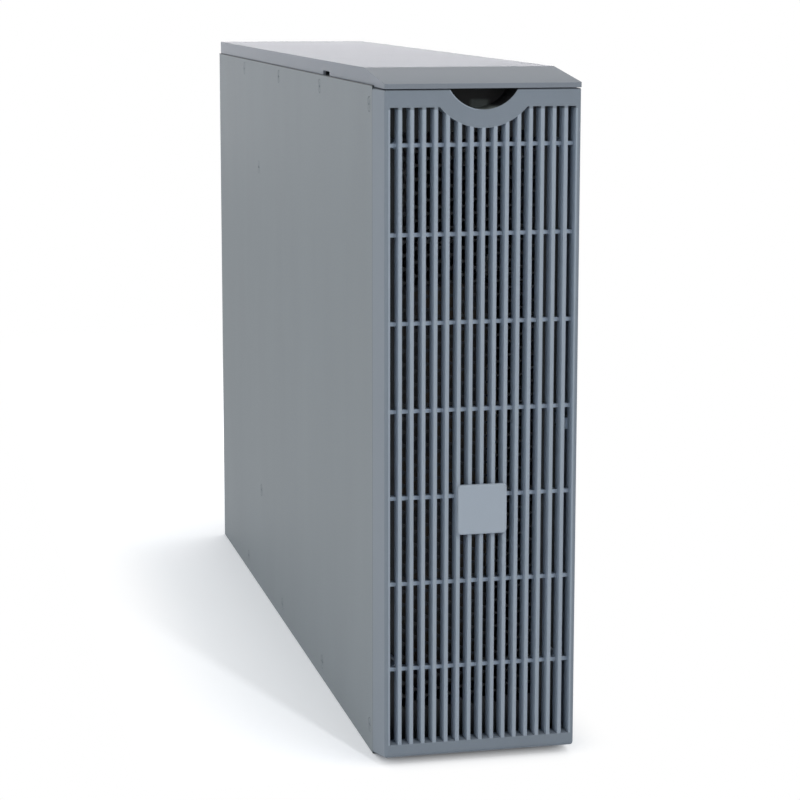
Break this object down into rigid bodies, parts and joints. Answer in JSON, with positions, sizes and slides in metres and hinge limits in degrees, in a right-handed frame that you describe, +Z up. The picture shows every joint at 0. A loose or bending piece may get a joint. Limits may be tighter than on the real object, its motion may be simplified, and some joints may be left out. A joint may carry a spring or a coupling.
{
  "type": "isolation transformer",
  "caption": "Isolation transformer in a narrow upright steel case with a louvred pull-off bezel, a square badge, a lift-off top cap and rear outlets, breakers, fan and cable gland.",
  "frame": {"origin": "centre of the overall box at the plane that the case floor stands on", "axes": "+Z up, -Y out of the louvred front, +X to the right seen from the front, case stands upright"},
  "size_m": [0.128, 0.693, 0.442],
  "materials": {
    "case_paint": "fine textured powder coat, grey",
    "side_paint": "fine textured powder coat, grey",
    "screen_paint": "light grey powder coat on perforated sheet",
    "zinc": "zinc plated",
    "galvanised": "galvanised sheet",
    "core_steel": "stacked laminations, varnished",
    "copper": "enamelled copper",
    "bobbin_nylon": "glass-filled nylon",
    "wrap_film": "polyester insulating film",
    "clamp_paint": "black varnish",
    "bush_fibre": "insulating fibre",
    "pad_rubber": "rubber",
    "black_nylon": "black moulded plastic",
    "block_plastic": "moulded phenolic",
    "brass": "plain brass",
    "lead_red": "insulated wire",
    "lead_black": "insulated wire",
    "lead_green": "insulated wire",
    "rotor_plastic": "moulded fan wheel",
    "lever_plastic": "moulded lever",
    "button_plastic": "moulded button",
    "outlet_plastic": "moulded outlet",
    "gland_plastic": "nylon gland",
    "seal_rubber": "gland seal",
    "bezel_plastic": "satin painted moulding, blue-grey",
    "badge_plastic": "bare badge plate, blue-grey",
    "cap_plastic": "satin painted moulding, blue-grey"
  },
  "bodies": {
    "case": {"case_pan": "case_paint", "side_cover": "side_paint", "cover_screws": "side_paint", "cover_nuts": "zinc", "panel_screws": "case_paint", "front_screen": "screen_paint", "screen_frame": "screen_paint", "rear_panel": "case_paint", "air_baffle": "galvanised", "e_laminations": "core_steel", "i_laminations": "core_steel", "bobbin": "bobbin_nylon", "primary_winding": "copper", "static_shield": "copper", "secondary_winding": "copper", "outer_wrap": "wrap_film", "clamp_angles": "clamp_paint", "clamp_bolts": "zinc", "bolt_bushes": "bush_fibre", "core_pads": "pad_rubber", "floor_studs": "zinc", "floor_nuts": "zinc", "wall_brackets": "galvanised", "bracket_bolts": "zinc", "thermal_switch": "black_nylon", "terminal_block": "block_plastic", "terminal_screws": "brass", "coil_leads": "lead_red", "feed_leads": "lead_black", "output_leads": "lead_black", "earth_lead": "lead_green", "fan_frame": "black_nylon", "fan_guard": "zinc", "fan_screws": "zinc", "breaker_body": "black_nylon", "reset_breakers": "black_nylon", "reset_nuts": "zinc", "outlets": "outlet_plastic", "twist_outlet": "black_nylon", "twist_screws": "zinc", "gland_body": "gland_plastic", "gland_dome": "gland_plastic", "gland_nut": "gland_plastic", "gland_seal": "seal_rubber", "earth_stud": "brass", "earth_nut": "brass"},
    "bezel": {"bezel": "bezel_plastic"},
    "badge": {"badge": "badge_plastic", "badge_clip": "zinc"},
    "top_cap": {"top_cap": "cap_plastic"},
    "fan_rotor": {"fan_rotor": "rotor_plastic"},
    "breaker_lever": {"breaker_lever": "lever_plastic"},
    "reset_button_upper": {"reset_button_upper": "button_plastic"},
    "reset_button_lower": {"reset_button_lower": "button_plastic"}
  },
  "joints": [
    {"name": "bezel_pull", "type": "slide", "parent": "case", "child": "bezel", "axis": [0, -1, 0], "range_m": [0, 0.06]},
    {"name": "badge_turn", "type": "hinge", "parent": "bezel", "child": "badge", "pos_m": [0, -0.34355, 0.1665], "axis": [0, -1, 0], "range_deg": [0, 90]},
    {"name": "cap_lift", "type": "slide", "parent": "case", "child": "top_cap", "axis": [0, 0, 1], "range_m": [0, 0.03]},
    {"name": "fan_spin", "type": "hinge", "parent": "case", "child": "fan_rotor", "pos_m": [0, 0.30245, 0.372], "axis": [0, 1, 0], "continuous": true},
    {"name": "lever_throw", "type": "hinge", "parent": "case", "child": "breaker_lever", "pos_m": [-0.026, 0.31445, 0.285], "axis": [1, 0, 0], "range_deg": [-44, 0]},
    {"name": "reset_upper_pop", "type": "slide", "parent": "case", "child": "reset_button_upper", "axis": [0, 1, 0], "range_m": [0, 0.004]},
    {"name": "reset_lower_pop", "type": "slide", "parent": "case", "child": "reset_button_lower", "axis": [0, 1, 0], "range_m": [0, 0.004]}
  ]
}
